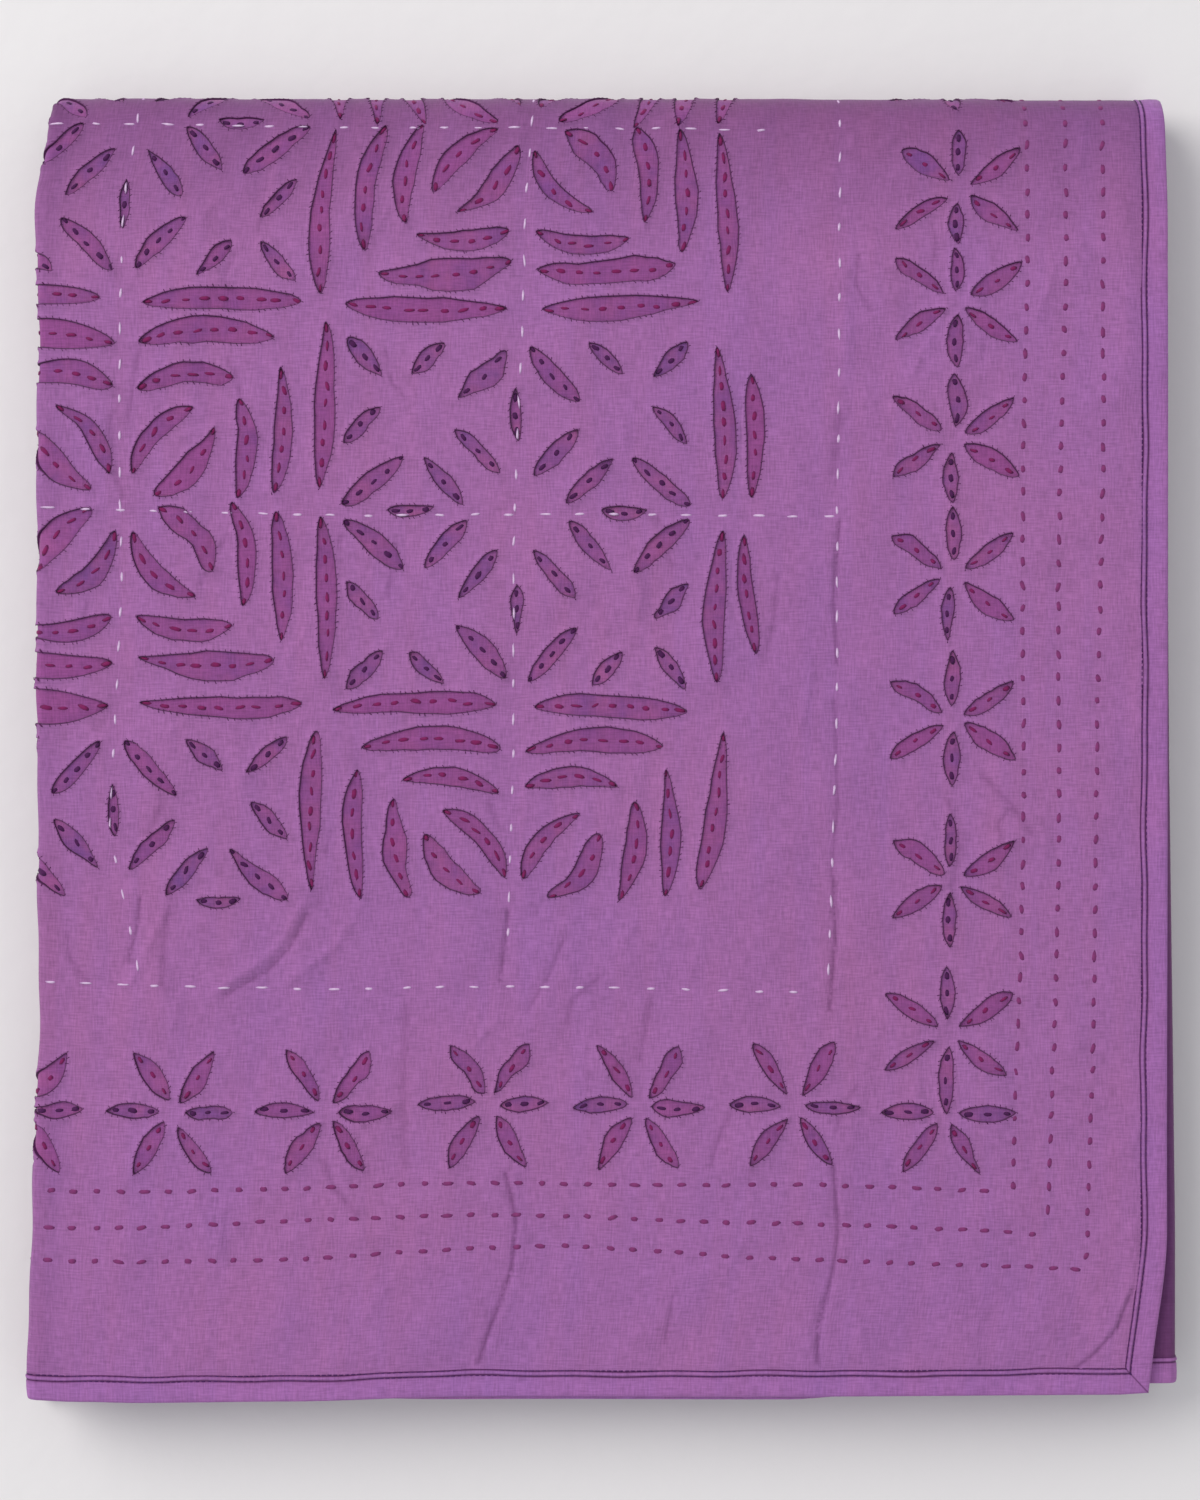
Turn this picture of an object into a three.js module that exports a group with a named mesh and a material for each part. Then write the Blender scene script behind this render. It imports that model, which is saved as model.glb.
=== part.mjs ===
// A full-size cotton applique quilt, folded three times into a flat bundle of sixteen plies.
//
// The quilt is one cloth: a patterned face, a ground cloth behind it and a backing, sewn
// together so that they fold as one ply. A binding of the same cotton wraps its raw edge.
// It was folded in half along its length, then back and forth across its width, and then
// the whole packet was turned over once, which gives the bundle its one big rounded end.
//
// Millimetres, +Z up. +X points at the side where the first edge lies open, +Y at the
// rounded end. The origin is under the middle of the bundle, on what it lies on.
//
// A point of the flat quilt is (s, w, n): s across the quilt's width from the edge that
// lies on top at +X, w along its length from the edge that lies on top at -Y, and n out
// of the patterned face, from the middle of the ply. place() folds that point.
import * as THREE from "three";

// Thicknesses of cloth and air.
const PLY = 2.0;
const PLY_AIR = 0.4; // between the two plies of a pair, back to back
const PAIR_AIR = 0.5; // between one pair and the next
const HEART_AIR = 0.6; // between the upper and the lower packet

// The folded bundle in plan.
const FRONT = 307; // the open end, at -Y
const BACK = 306; // the rounded end, at +Y
const TURN_BLUNTNESS = 0.9; // the rounded end is this much of a half circle

// The binding, and the raw edge that it wraps.
const BINDING_WIDTH = 10;
const BINDING_WALL = 0.5;
const EASE = 0.3; // between the binding and the quilt
const NOSE = 0.6; // the bevel on the binding's outer edge
const FOLD_OF_BINDING = 1.7; // the thickness of binding outside the raw edge
const SHOULDER = 0.6; // where the pressed edge swells to the full ply

// The creases across the width, in the order they come from the top of the bundle. reach
// is how far out each one's middle line lies. frontIn draws it in at the open end, over the
// stretch frontOver, and backIn does so at the rounded end. faceIn, underIn and foldIn say
// how far the length stops short of FRONT there: the face ply, the ply under it, and the
// lengthwise fold in the lower packet.
const CREASES = [
  { name: "top edge", reach: 265.5, frontIn: 8, frontOver: 80, backIn: 1.5, faceIn: 3.3, underIn: 5, foldIn: 4 },
  { name: "left fold", reach: 260, frontIn: -4.5, frontOver: 190, backIn: 7, faceIn: 1, underIn: 3, foldIn: -3 },
  { name: "right fold", reach: 262, frontIn: -4, frontOver: 380, backIn: 2, faceIn: 9, underIn: 8, foldIn: 5 },
  { name: "next left fold", reach: 258, frontIn: 0, frontOver: 150, backIn: 4, faceIn: 4, underIn: 3, foldIn: 1 },
  { name: "inner edge", reach: 259, frontIn: -1, frontOver: 150, backIn: 1, faceIn: 6, underIn: 7, foldIn: 4 },
].map((crease, i) => ({ ...crease, side: i % 2 ? -1 : 1 })); // +X first, and so on in turn
const BACK_CORNER = 60; // the stretch over which backIn acts

// The top layer's open end isn't quite straight: what it draws in besides, along its width.
const OPEN_END = [
  { x: -266, faceIn: 0, underIn: 0, foldIn: 0 },
  { x: -240, faceIn: -1.1, underIn: -1.1, foldIn: -3 },
  { x: -211, faceIn: -1.7, underIn: -1.4, foldIn: -1 },
  { x: -141, faceIn: -1.2, underIn: -1.5, foldIn: -0.5 },
  { x: -61, faceIn: 0.6, underIn: -2.9, foldIn: -1 },
  { x: 94, faceIn: -0.1, underIn: -3.5, foldIn: -2 },
  { x: 141, faceIn: 0, underIn: -0.5, foldIn: -1.5 },
  { x: 264, faceIn: 0, underIn: 0, foldIn: 0 },
];

// How unevenly the bundle lies.
const LOFT_AT_BACK = 0.05; // the share by which it stands higher where it is folded
const LOFT_AT_LEFT = 0.03;
const WAVES = [
  { rise: 0.016, alongX: 250, alongY: 900, phase: 0.6 },
  { rise: 0.012, alongX: 1400, alongY: 230, phase: 2.1 },
];
const SWAY = { x: 0.8, y: 0.6, perHeight: 15, perLength: 210 };

// How finely the folds are divided.
const SPANS = { layer: 5, crease: 4, length: 6, turn: 6, hairpin: 4 };
const LENGTH_STEPS = [0, 0.09, 0.24, 0.5, 0.76, 0.9, 1]; // closer near the corners

const PAIR = 2 * PLY + PLY_AIR;
const PAIR_PITCH = PAIR + PAIR_AIR;
const PLY_OFFSET = (PLY + PLY_AIR) / 2; // a ply's middle from the middle of its pair
const LAYERS = CREASES.length - 1;
const PACKET = LAYERS * PAIR_PITCH - PAIR_AIR + HEART_AIR / 2; // the heart to the outside
const TURN_AT = BACK - PACKET * TURN_BLUNTNESS;
const COTTON = { color: 0x96649b, roughness: 0.92, metalness: 0 };
const COTTON_EDGE = { color: 0x8f5d9c, roughness: 0.9, metalness: 0 };

const clamp01 = (v) => Math.min(1, Math.max(0, v));
const ease = (v) => clamp01(v) ** 2 * (3 - 2 * clamp01(v));
const mix = (a, b, t) => a + (b - a) * t;

// The value of one column of a table at x, going smoothly from row to row.
function column(table, name, x) {
  const after = table.findIndex((row) => row.x >= x);
  if (after === -1) return table[table.length - 1][name];
  if (after === 0) return table[0][name];
  const [a, b] = [table[after - 1], table[after]];
  return mix(a[name], b[name], ease((x - a.x) / (b.x - a.x)));
}

// Cuts one direction of the flat quilt into its straight stretches and its folds.
function stretches(parts) {
  let from = 0;
  return parts.map((part) => {
    const stretch = { ...part, from, to: from + part.length };
    from = stretch.to;
    return stretch;
  });
}

const acrossStretches = stretches(
  CREASES.slice(0, -1).flatMap((crease, layer) => [
    { kind: "layer", layer, length: crease.reach + CREASES[layer + 1].reach },
    { kind: "crease", layer: layer + 1, length: (Math.PI * PAIR_PITCH) / 2 },
  ]).slice(0, -1),
);
const alongStretches = stretches([
  { kind: "upper", length: FRONT + TURN_AT, under: false },
  { kind: "turn", length: Math.PI * PACKET, under: false },
  { kind: "lower", length: FRONT + TURN_AT, under: false },
  { kind: "hairpin", length: Math.PI * PLY_OFFSET, under: false },
  { kind: "lower", length: FRONT + TURN_AT, under: true },
  { kind: "turn", length: Math.PI * PACKET, under: true },
  { kind: "upper", length: FRONT + TURN_AT, under: true },
]);
const QUILT_WIDTH = acrossStretches.at(-1).to;
const QUILT_LENGTH = alongStretches.at(-1).to;

const stretchAt = (list, v) => list.find((part) => v <= part.to) ?? list[list.length - 1];
const shareAt = (part, v) => (v - part.from) / (part.to - part.from);

// Where a crease lies at a place along the bundle.
function creaseX(crease, y) {
  const front = crease.frontIn * ease((crease.frontOver - FRONT - y) / crease.frontOver);
  const back = crease.backIn * ease((y + BACK_CORNER - BACK) / BACK_CORNER);
  return crease.side * (crease.reach - front - back);
}

// The middle of a layer's pair, measured from the heart of the bundle.
const depthOf = (layer) => HEART_AIR / 2 + PAIR / 2 + (LAYERS - 1 - layer) * PAIR_PITCH;

// The back-and-forth folds: q is measured out of the pair, towards its face ply.
function foldAcross(s, q) {
  const part = stretchAt(acrossStretches, s);
  const share = shareAt(part, s);
  if (part.kind === "layer") {
    const [a, b] = [CREASES[part.layer], CREASES[part.layer + 1]];
    return {
      depth: depthOf(part.layer) + (part.layer % 2 ? -q : q),
      short: (name) => mix(a[name], b[name], share),
      x: (y) => mix(creaseX(a, y), creaseX(b, y), share),
      onTop: part.layer === 0,
    };
  }
  const crease = CREASES[part.layer];
  const radius = PAIR_PITCH / 2 + (crease.side < 0 ? q : -q);
  const angle = Math.PI * share;
  const middle = (depthOf(part.layer - 1) + depthOf(part.layer)) / 2;
  return {
    depth: middle + radius * Math.cos(angle),
    short: (name) => crease[name],
    x: (y) => creaseX(crease, y) + crease.side * radius * Math.sin(angle),
    onTop: false,
  };
}

// The lengthwise folds: first the hairpin that makes pairs, then the turn round the heart.
function foldAlong(w, n, across) {
  const part = stretchAt(alongStretches, w);
  const share = part.under ? 1 - shareAt(part, w) : shareAt(part, w);
  const out = PLY_OFFSET + n;
  const hairpin = part.kind === "hairpin" ? Math.PI * shareAt(part, w) : part.under ? Math.PI : 0;
  const at = across(out * Math.cos(hairpin));
  const endOf = (name) => FRONT - at.short(name) - (at.onTop ? column(OPEN_END, name, at.x(0)) : 0);
  const angle = { upper: 0, turn: Math.PI * share, lower: Math.PI, hairpin: Math.PI }[part.kind];
  const y = {
    upper: () => mix(-endOf(part.under ? "underIn" : "faceIn"), TURN_AT, share),
    turn: () => TURN_AT + at.depth * TURN_BLUNTNESS * Math.sin(angle),
    lower: () => mix(TURN_AT, PAIR / 2 - endOf("foldIn"), share),
    hairpin: () => PAIR / 2 - endOf("foldIn") - out * Math.sin(hairpin),
  }[part.kind]();
  return { x: at.x(y), y, z: PACKET + at.depth * Math.cos(angle) };
}

// The bundle stands higher at its folds, lies in soft waves, and its plies sway a little.
// Each step slides or stretches all the plies together, so none of them meet.
function settle({ x, y, z }) {
  const height = 2 * PACKET;
  const waves = WAVES.map((wave) =>
    wave.rise * Math.sin((2 * Math.PI * x) / wave.alongX + (2 * Math.PI * y) / wave.alongY + wave.phase));
  const loft = LOFT_AT_BACK * ease((y + BACK / 2) / BACK) - LOFT_AT_LEFT * (x / FRONT);
  const sway = Math.sin((Math.PI * z) / height);
  const slant = z / SWAY.perHeight;
  return new THREE.Vector3(
    x + SWAY.x * sway * Math.sin(slant + y / SWAY.perLength),
    y + SWAY.y * sway * Math.sin(slant * 1.3 + x / SWAY.perLength),
    z * (1 + loft + waves[0] + waves[1]),
  );
}

const place = (s, w, n) => settle(foldAlong(w, n, (q) => foldAcross(s, q)));

// A closed solid from its points and its four-sided faces.
function solid(name, points, quads, finish) {
  const geometry = new THREE.BufferGeometry().setFromPoints(points);
  geometry.setIndex(quads.flatMap(([a, b, c, d]) => [a, b, c, a, c, d]));
  geometry.computeVertexNormals();
  const mesh = new THREE.Mesh(geometry, new THREE.MeshStandardMaterial(finish));
  mesh.name = name;
  return mesh;
}

// Where the solids have corners, between two places in one direction of the flat quilt.
function stations(list, from, to, spansOf) {
  const inside = list.flatMap((part) => spansOf(part).map((t) => mix(part.from, part.to, t)));
  return inside.filter((v) => v > from && v < to);
}
const evenly = (count) => Array.from({ length: count }, (_, i) => i / count);
const acrossStations = (from, to) =>
  stations(acrossStretches, from, to, (part) => evenly(SPANS[part.kind]));
const alongStations = (from, to) =>
  stations(alongStretches, from, to, (part) => {
    if (part.kind === "turn") return evenly(SPANS.turn);
    if (part.kind === "hairpin") return evenly(SPANS.hairpin);
    const steps = part.under ? LENGTH_STEPS.map((t) => 1 - t).reverse() : LENGTH_STEPS;
    const turned = part.kind === "lower" ? steps.map((t) => 1 - t).reverse() : steps;
    return turned.slice(0, -1);
  });

// The quilt itself: full thickness inside, pressed thin where the binding holds its edge.
function quiltCloth() {
  const rim = FOLD_OF_BINDING + EASE;
  const held = BINDING_WIDTH + EASE;
  const full = held + SHOULDER;
  const pressed = PLY / 2 - BINDING_WALL - EASE;
  const ladder = (size, between) =>
    [rim, held, full, ...between(full + 1, size - full - 1), size - full, size - held, size - rim];
  const across = ladder(QUILT_WIDTH, acrossStations);
  const along = ladder(QUILT_LENGTH, alongStations);
  const thin = (v, size) => Math.min(v, size - v) < held + SHOULDER / 2;
  const half = (s, w) => (thin(s, QUILT_WIDTH) || thin(w, QUILT_LENGTH) ? pressed : PLY / 2);

  const points = [];
  for (const face of [1, -1])
    for (const s of across) for (const w of along) points.push(place(s, w, face * half(s, w)));

  const [rows, columns] = [across.length, along.length];
  const at = (face, i, j) => face * rows * columns + i * columns + j;
  const quads = [];
  for (let i = 0; i + 1 < rows; i++)
    for (let j = 0; j + 1 < columns; j++) {
      quads.push([at(0, i, j), at(0, i, j + 1), at(0, i + 1, j + 1), at(0, i + 1, j)]);
      quads.push([at(1, i, j), at(1, i + 1, j), at(1, i + 1, j + 1), at(1, i, j + 1)]);
    }
  const wall = (i, j, k, l) => quads.push([at(0, k, l), at(0, i, j), at(1, i, j), at(1, k, l)]);
  for (let i = 0; i + 1 < rows; i++) {
    wall(i + 1, 0, i, 0);
    wall(i, columns - 1, i + 1, columns - 1);
  }
  for (let j = 0; j + 1 < columns; j++) {
    wall(0, j, 0, j + 1);
    wall(rows - 1, j + 1, rows - 1, j);
  }
  return solid("quilt_cloth", points, quads, COTTON);
}

// The binding: one strip, folded in a C over the raw edge and mitred at the four corners.
// Its section is in distances d in from the quilt's outer edge, and n out of its face.
function bindingSection() {
  const [top, slot] = [PLY / 2, PLY / 2 - BINDING_WALL];
  return [
    { d: 0, n: NOSE - top },
    { d: 0, n: top - NOSE },
    { d: NOSE, n: top },
    { d: BINDING_WIDTH, n: top },
    { d: BINDING_WIDTH, n: slot },
    { d: FOLD_OF_BINDING, n: slot },
    { d: FOLD_OF_BINDING, n: -slot },
    { d: BINDING_WIDTH, n: -slot },
    { d: BINDING_WIDTH, n: -top },
    { d: NOSE, n: -top },
  ];
}

function binding() {
  const corner = BINDING_WIDTH + EASE + SHOULDER;
  const across = [corner, ...acrossStations(corner + 1, QUILT_WIDTH - corner - 1), QUILT_WIDTH - corner];
  const along = [corner, ...alongStations(corner + 1, QUILT_LENGTH - corner - 1), QUILT_LENGTH - corner];
  const [W, L] = [QUILT_WIDTH, QUILT_LENGTH];
  const route = [
    { s: 0, w: 0, ds: 1, dw: 1 },
    ...across.map((s) => ({ s, w: 0, ds: 0, dw: 1 })),
    { s: W, w: 0, ds: -1, dw: 1 },
    ...along.map((w) => ({ s: W, w, ds: -1, dw: 0 })),
    { s: W, w: L, ds: -1, dw: -1 },
    ...across.toReversed().map((s) => ({ s, w: L, ds: 0, dw: -1 })),
    { s: 0, w: L, ds: 1, dw: -1 },
    ...along.toReversed().map((w) => ({ s: 0, w, ds: 1, dw: 0 })),
  ];
  const section = bindingSection();
  const points = route.flatMap(({ s, w, ds, dw }) =>
    section.map(({ d, n }) => place(s + ds * d, w + dw * d, n)));
  const sides = section.length;
  const quads = route.flatMap((_, i) =>
    section.map((__, k) => {
      const [here, next] = [i * sides, ((i + 1) % route.length) * sides];
      const turn = (k + 1) % sides;
      return [here + k, here + turn, next + turn, next + k];
    }));
  return solid("binding", points, quads, COTTON_EDGE);
}

const bundle = new THREE.Group();
bundle.add(quiltCloth(), binding());
const footprint = new THREE.Box3().setFromObject(bundle).getCenter(new THREE.Vector3());
bundle.position.set(-footprint.x, -footprint.y, 0);
bundle.name = "folded_applique_quilt";

export default bundle;
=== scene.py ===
# %% [markdown]
# # A folded applique quilt
# The real thing is a cotton bed quilt of cutwork applique: leaf shapes are cut out of the face
# cloth, their edges are turned under and sewn down, and a second cloth shows through them. It
# is bound all round, and it has been folded into a flat bundle of sixteen plies.
#
# The plan is the maker's own: every piece is made flat and life-size, as on a sewing table,
# and one function then folds them all together. That keeps the leaves, stitches and binding
# in their places on the cloth, wherever the cloth goes.

import bpy
import numpy as np
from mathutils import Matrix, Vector
from mathutils.geometry import delaunay_2d_cdt
from mathutils.kdtree import KDTree


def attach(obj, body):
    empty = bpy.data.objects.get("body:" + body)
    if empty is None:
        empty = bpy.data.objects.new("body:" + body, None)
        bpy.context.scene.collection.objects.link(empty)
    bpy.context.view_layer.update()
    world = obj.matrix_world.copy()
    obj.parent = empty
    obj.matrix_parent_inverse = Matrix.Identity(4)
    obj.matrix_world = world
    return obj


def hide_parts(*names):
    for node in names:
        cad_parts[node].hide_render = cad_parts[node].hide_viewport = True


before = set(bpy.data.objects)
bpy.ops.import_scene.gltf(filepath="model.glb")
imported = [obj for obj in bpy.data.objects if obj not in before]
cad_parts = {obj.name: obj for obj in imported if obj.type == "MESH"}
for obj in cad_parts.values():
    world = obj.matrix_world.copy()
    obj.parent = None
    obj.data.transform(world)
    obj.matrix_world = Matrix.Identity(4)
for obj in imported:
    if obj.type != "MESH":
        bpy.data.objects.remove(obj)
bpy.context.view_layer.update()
MM = 0.001
chance = np.random.default_rng(7)

# %% [markdown]
# ## The folds
# A point of the flat quilt is (s, w, n): s runs across the width from the edge that lies on
# top at the right, w along the length from the edge at the front, and n out of the patterned
# face. The quilt is folded in half along its length, then back and forth across its width,
# and then once more round a broad turn. Each fold is a half circle, so a point is carried by
# its angle; between folds it just runs straight. The tables are the sizes of the solid model.

# %% Sizes of the folds, in millimetres
PLY, PLY_AIR, PAIR_AIR, HEART_AIR = 2.0, 0.4, 0.5, 0.6
FRONT, BACK, BLUNT = 307.0, 306.0, 0.9
PITCH = 2 * PLY + PLY_AIR + PAIR_AIR
OFFSET = (PLY + PLY_AIR) / 2
PACKET = 4 * PITCH - PAIR_AIR + HEART_AIR / 2
TURN_AT = BACK - PACKET * BLUNT
CREASE = {
    "side": [1, -1, 1, -1, 1],
    "reach": [265.5, 260, 262, 258, 259],
    "frontIn": [8, -4.5, -4, 0, -1],
    "frontOver": [80, 190, 380, 150, 150],
    "backIn": [1.5, 7, 2, 4, 1],
    "faceIn": [3.3, 1, 9, 4, 6],
    "underIn": [5, 3, 8, 3, 7],
    "foldIn": [4, -3, 5, 1, 4],
}
CREASE = {name: np.array(column, float) for name, column in CREASE.items()}
OPEN_END = {
    "x": [-266, -240, -211, -141, -61, 94, 141, 264],
    "faceIn": [0, -1.1, -1.7, -1.2, 0.6, -0.1, 0, 0],
    "underIn": [0, -1.1, -1.4, -1.5, -2.9, -3.5, -0.5, 0],
    "foldIn": [0, -3, -1, -0.5, -1, -2, -1.5, 0],
}
BACK_CORNER = 60
FOOTPRINT = (-0.754089, 1.951172)  # brings the middle of the footprint to the origin

reach = CREASE["reach"]
layer_lengths = reach[:-1] + reach[1:]
ACROSS = np.cumsum(np.insert(layer_lengths, [1, 2, 3], np.pi * PITCH / 2))
RUN = FRONT + TURN_AT
ALONG = np.cumsum([RUN, np.pi * PACKET, RUN, np.pi * OFFSET, RUN, np.pi * PACKET, RUN])
WIDTH, LENGTH = ACROSS[-1], ALONG[-1]
print(f"flat quilt {WIDTH:.0f} by {LENGTH:.0f} mm")

# %% Fold points of the flat quilt
def ease(v):
    v = np.clip(v, 0, 1)
    return v * v * (3 - 2 * v)


def eased_column(x, xs, values):
    """A column of a table at x, going smoothly from row to row."""
    row = np.clip(np.searchsorted(xs, x), 1, len(xs) - 1)
    xs, values = np.array(xs, float), np.array(values, float)
    t = ease((x - xs[row - 1]) / (xs[row] - xs[row - 1]))
    return values[row - 1] * (1 - t) + values[row] * t


def crease_x(j, y):
    over = CREASE["frontOver"][j]
    front = CREASE["frontIn"][j] * ease((over - FRONT - y) / over)
    back = CREASE["backIn"][j] * ease((y + BACK_CORNER - BACK) / BACK_CORNER)
    return CREASE["side"][j] * (reach[j] - front - back)


def share_of(stretches, v):
    part = np.clip(np.searchsorted(stretches, v), 0, len(stretches) - 1)
    start = np.insert(stretches, 0, 0)[part]
    return part, (v - start) / (stretches[part] - start)


def fold_in_mm(s, w, n):
    part_w, share_w = share_of(ALONG, w)
    under = part_w > 3
    share = np.where(under, 1 - share_w, share_w)
    hairpin = np.where(part_w == 3, np.pi * share_w, np.where(under, np.pi, 0))
    q = (OFFSET + n) * np.cos(hairpin)

    part_s, share_s = share_of(ACROSS, s)
    folding = part_s % 2 == 1
    a, b = (part_s + 1) // 2, part_s // 2 + 1
    t = np.where(folding, 0, share_s)
    b = np.where(folding, a, b)
    depth_of = lambda layer: HEART_AIR / 2 + (PITCH - PAIR_AIR) / 2 + (3 - layer) * PITCH
    angle = np.pi * share_s
    radius = PITCH / 2 + np.where(a % 2 == 1, q, -q)
    straight = depth_of(a) + np.where(a % 2 == 1, -q, q)
    depth = np.where(folding, depth_of(a - 0.5) + radius * np.cos(angle), straight)
    bulge = np.where(folding, CREASE["side"][a] * radius * np.sin(angle), 0)
    x_at = lambda y: crease_x(a, y) * (1 - t) + crease_x(b, y) * t + bulge

    def end_of(name):
        extra = eased_column(x_at(0 * s), OPEN_END["x"], OPEN_END[name])
        inset = CREASE[name][a] * (1 - t) + CREASE[name][b] * t
        return FRONT - inset - np.where((part_s == 0), extra, 0)

    top_end = -np.where(under, end_of("underIn"), end_of("faceIn"))
    low_end = (PITCH - PAIR_AIR) / 2 - end_of("foldIn")
    upper = (part_w == 0) | (part_w == 6)
    turning = (part_w == 1) | (part_w == 5)
    turn = np.where(upper, 0, np.where(turning, np.pi * share, np.pi))
    y = np.where(upper, top_end * (1 - share) + TURN_AT * share, TURN_AT)
    y = np.where(turning, TURN_AT + depth * BLUNT * np.sin(turn), y)
    y = np.where((part_w == 2) | (part_w == 4), TURN_AT * (1 - share) + low_end * share, y)
    y = np.where(part_w == 3, low_end - (OFFSET + n) * np.sin(hairpin), y)
    x, z = x_at(y), PACKET + depth * np.cos(turn)

    waves = 0.016 * np.sin(2 * np.pi * (x / 250 + y / 900) + 0.6)
    waves += 0.012 * np.sin(2 * np.pi * (x / 1400 + y / 230) + 2.1)
    loft = 0.05 * ease((y + BACK / 2) / BACK) - 0.03 * x / FRONT
    sway = np.sin(np.pi * z / (2 * PACKET))
    return np.stack([
        x + 0.8 * sway * np.sin(z / 15 + y / 210) + FOOTPRINT[0],
        y + 0.6 * sway * np.sin(z / 15 * 1.3 + x / 210) + FOOTPRINT[1],
        z * (1 + loft + waves),
    ], axis=1)


# %% [markdown]
# ## Camera, light and table
# The bundle is seen from straight above. The camera stands about 1.7 m over it with a long
# lens, so that its sides don't lean. A large soft light comes from the upper left and a pale
# sky fills the rest, so the shadow falls to the right and in front.

# %% Camera, light and table
FLOOR_GAP = 0.0002
bpy.ops.object.select_all(action="DESELECT")
bpy.ops.object.camera_add(location=(-0.0012, 0.0005, 1.7055), rotation=(0, 0, 0))
camera = bpy.context.object
camera.name = "camera_above"
camera.data.lens = 85.4
bpy.context.scene.camera = camera

bpy.ops.object.light_add(type="AREA", location=(-3.3, 2.35, 3.4))
window = bpy.context.object
window.name = "soft_light_upper_left"
window.data.shape = "DISK"
window.data.size = 4.2
window.data.energy = 187
window.data.color = (1.0, 0.985, 0.965)
window.rotation_euler = (-window.location).to_track_quat("-Z", "Y").to_euler()

bpy.ops.mesh.primitive_plane_add(size=6, location=(0, 0, -FLOOR_GAP))
table = bpy.context.object
table.name = "pale_table"

sky = bpy.data.worlds.new("pale_sky")
bpy.context.scene.world = sky
sky.use_nodes = True
sky.node_tree.nodes["Background"].inputs["Color"].default_value = (0.93, 0.95, 1.0, 1)
sky.node_tree.nodes["Background"].inputs["Strength"].default_value = 0.66
bpy.context.scene.view_settings.view_transform = "Standard"
print("camera", tuple(round(v, 3) for v in camera.location))

# %% [markdown]
# ## Where things are on the quilt
# The photograph shows the quilt's front right corner, one quarter of its length. Places on
# the top of the bundle are therefore charted, in steps of about half a millimetre, and turned
# into millimetres from the right and the front edge. A block is a square of leaves; two kinds
# of block alternate like a checkerboard. One quarter of each is charted, and mirrored.

# %% Chart to millimetres
CHART = 0.4675  # millimetres of cloth to one step of the chart
RIGHT_STEP, FRONT_STEP, FRONT_SLOPE = 1167, 1407, 0.0078  # the chart's right and front edges


def from_chart(x, y):
    return np.array([(RIGHT_STEP - x) * CHART, (FRONT_STEP - FRONT_SLOPE * x - y) * CHART])


def corners_of(path):
    """The corners of a charted path on the flat cloth, in millimetres."""
    return np.array([from_chart(*corner) for corner in path])


# %% The two blocks, a quarter of each
# Columns: right and up from the block's middle, length, width, lean in degrees, bow.
BARS_BLOCK = [
    (98, 201, 157, 24, -1, -4), (82, 159, 136, 25, 1, -8), (60, 120, 96, 22, 5, -9),
    (199, 96, 162, 20, 88, 4), (154, 72, 130, 19, 87, 6), (114, 54, 100, 20, 84, 8),
    (39, 61, 90, 20, 47, -12), (61, 39, 84, 25, 47, 10),
]
PETALS_BLOCK = [
    (0, 97, 50, 11, 90, 0), (106, 3, 46, 13, 0, 4),
    (38, 61, 64, 17, 48, 0), (73, 32, 63, 16, 48, 0),
    (145, 32, 75, 19, -41, 2), (37, 141, 70, 18, -47, 2),
    (155, 87, 50, 16, -48, 0), (90, 155, 46, 15, -43, 0),
    (154, 157, 52, 16, 46, 0),
]
# Columns: column and row of the block, the chart's place of its middle, its share of width
# and height, and how far down from its middle it still has leaves.
BLOCKS = [
    (0, 0, 511, 905, 1.0, 0.97, 8), (1, 0, 112, 905, 1.0, 0.95, 8),
    (0, 1, 515, 514, 1.0, 1.0, 400), (1, 1, 122, 503, 1.0, 1.0, 400),
    (0, 2, 522, 125, 1.0, 0.9, 400), (1, 2, 122, 122, 1.0, 0.88, 400),
]
BLOCK_PITCH = 390
for row in range(3, 6):
    middle = 125 - BLOCK_PITCH * (row - 2)
    BLOCKS += [(0, row, 515, middle, 1.0, 1.0, 400), (1, row, 122, middle, 1.0, 1.0, 400)]
print(len(BLOCKS), "blocks charted on the outer ply")

# %% The flowers of the border
# Columns: a flower's place along the border and across it,
# and how long its petals before and after it along the border are.
RIGHT_FLOWERS = [(185, 957, 46, 41), (297, 955, 41, 52), (435, 951, 53, 53), (572, 951, 53, 54)]
RIGHT_FLOWERS += [(718, 951, 54, 54), (880, 951, 54, 55), (1035, 947, 54, 67)]
RIGHT_FLOWERS += [(185 - 146 * k, 953, 53, 53 if k > 1 else 48) for k in range(1, 9)]
FRONT_FLOWERS = [(793, 1108, 53, 55), (638, 1110, 54, 50), (487, 1110, 56, 47), (325, 1114, 55, 50)]
FRONT_FLOWERS += [(172, 1115, 53, 48), (22, 1115, 50, 47)]
CORNER_FLOWER = (944, 1115, 51, 58)
# Columns: lean of the four slanting petals from the border's run, their length and width.
SLANTING = [(57, 60, 17), (123, 61, 16), (237, 60, 17), (303, 59, 16)]
ALONG_WIDTH = 15  # steps across a petal that lies along the border
FLOWER_HEART = 13  # steps from the middle of a flower to where its petals start

# %% Directions on the flat cloth
def left_of(way):
    return np.array([-way[1], way[0]])


def turned(way, lean):
    """A direction on the flat cloth, turned by lean radians."""
    return np.array([
        way[0] * np.cos(lean) - way[1] * np.sin(lean),
        way[0] * np.sin(lean) + way[1] * np.cos(lean),
    ])


# %% Chart every leaf
leaves = []


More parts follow.
